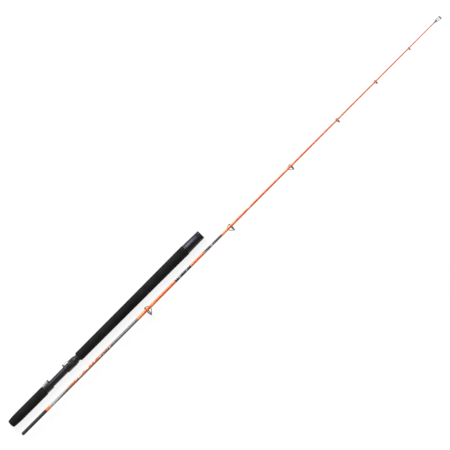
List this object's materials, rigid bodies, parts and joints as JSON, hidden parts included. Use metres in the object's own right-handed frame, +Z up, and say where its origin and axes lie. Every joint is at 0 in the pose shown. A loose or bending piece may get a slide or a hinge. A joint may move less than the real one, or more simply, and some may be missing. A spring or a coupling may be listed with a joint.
{
  "type": "two-section boat-type fishing rod",
  "caption": "Fishing rod in two sections side by side: a foam-gripped handle with reel seat and gimbal, and a tapered tip section with a ferrule spigot, wire line guides and a tip-top.",
  "frame": {"origin": "bottom centre of the box round both sections as they lie", "axes": "+Y along both sections towards the tip-top and the gimbal, +X from the handle to the tip section, +Z up from the surface they lie on"},
  "size_m": [0.0714, 1.5009, 0.0383],
  "materials": {
    "foam": "matte closed-cell foam",
    "graphite": "satin",
    "spigot": "satin, ground",
    "seat": "satin",
    "hood_cover": "satin",
    "pad": "matte",
    "nut": "satin",
    "gimbal": "satin anodised",
    "blank": "gloss",
    "thread": "gloss",
    "guide_frame": "satin",
    "guide_ring": "polished"
  },
  "bodies": {
    "handle": {"ferrule_socket": "graphite", "butt_tube": "graphite", "foregrip": "foam", "reel_seat_barrel": "seat", "fixed_hood": "seat", "fixed_hood_cover": "hood_cover", "fixed_hood_pad_upper": "pad", "fixed_hood_pad_lower": "pad", "rear_grip": "foam", "gimbal": "gimbal"},
    "sliding_hood": {"sliding_hood": "seat", "sliding_hood_cover": "hood_cover", "sliding_hood_pad_upper": "pad", "sliding_hood_pad_lower": "pad"},
    "lock_nut": {"lock_nut": "nut"},
    "tip_section": {"spigot": "spigot", "blank": "blank", "ferrule_wrap": "thread", "guide_1_frame": "guide_frame", "guide_1_ring": "guide_ring", "guide_1_wrap_rear": "thread", "guide_1_wrap_front": "thread", "guide_2_frame": "guide_frame", "guide_2_ring": "guide_ring", "guide_2_wrap_rear": "thread", "guide_2_wrap_front": "thread", "guide_3_frame": "guide_frame", "guide_3_ring": "guide_ring", "guide_3_wrap_rear": "thread", "guide_3_wrap_front": "thread", "guide_4_frame": "guide_frame", "guide_4_ring": "guide_ring", "guide_4_wrap_rear": "thread", "guide_4_wrap_front": "thread", "guide_5_frame": "guide_frame", "guide_5_ring": "guide_ring", "guide_5_wrap_rear": "thread", "guide_5_wrap_front": "thread", "guide_6_frame": "guide_frame", "guide_6_ring": "guide_ring", "guide_6_wrap_rear": "thread", "guide_6_wrap_front": "thread", "tip_top_frame": "guide_frame", "tip_top_ring": "guide_ring"}
  },
  "joints": [
    {"name": "sliding_hood_slide", "type": "slide", "parent": "handle", "child": "sliding_hood", "axis": [0, 1, 0], "range_m": [-0.021, 0.006]},
    {"name": "lock_nut_turn", "type": "hinge", "parent": "sliding_hood", "child": "lock_nut", "pos_m": [-0.02081, -0.53278, 0.0139], "axis": [0, 1, 0], "range_deg": [-3780, 1080]},
    {"name": "tip_section_swing", "type": "hinge", "parent": "handle", "child": "tip_section", "pos_m": [-0.00156, -0.75038, 0.0139], "axis": [0, 0, -1], "range_deg": [0, 180]}
  ],
  "couplings": [
    {"joint": "sliding_hood_slide", "follows": "lock_nut_turn", "m_per_rad": 0.000318}
  ]
}
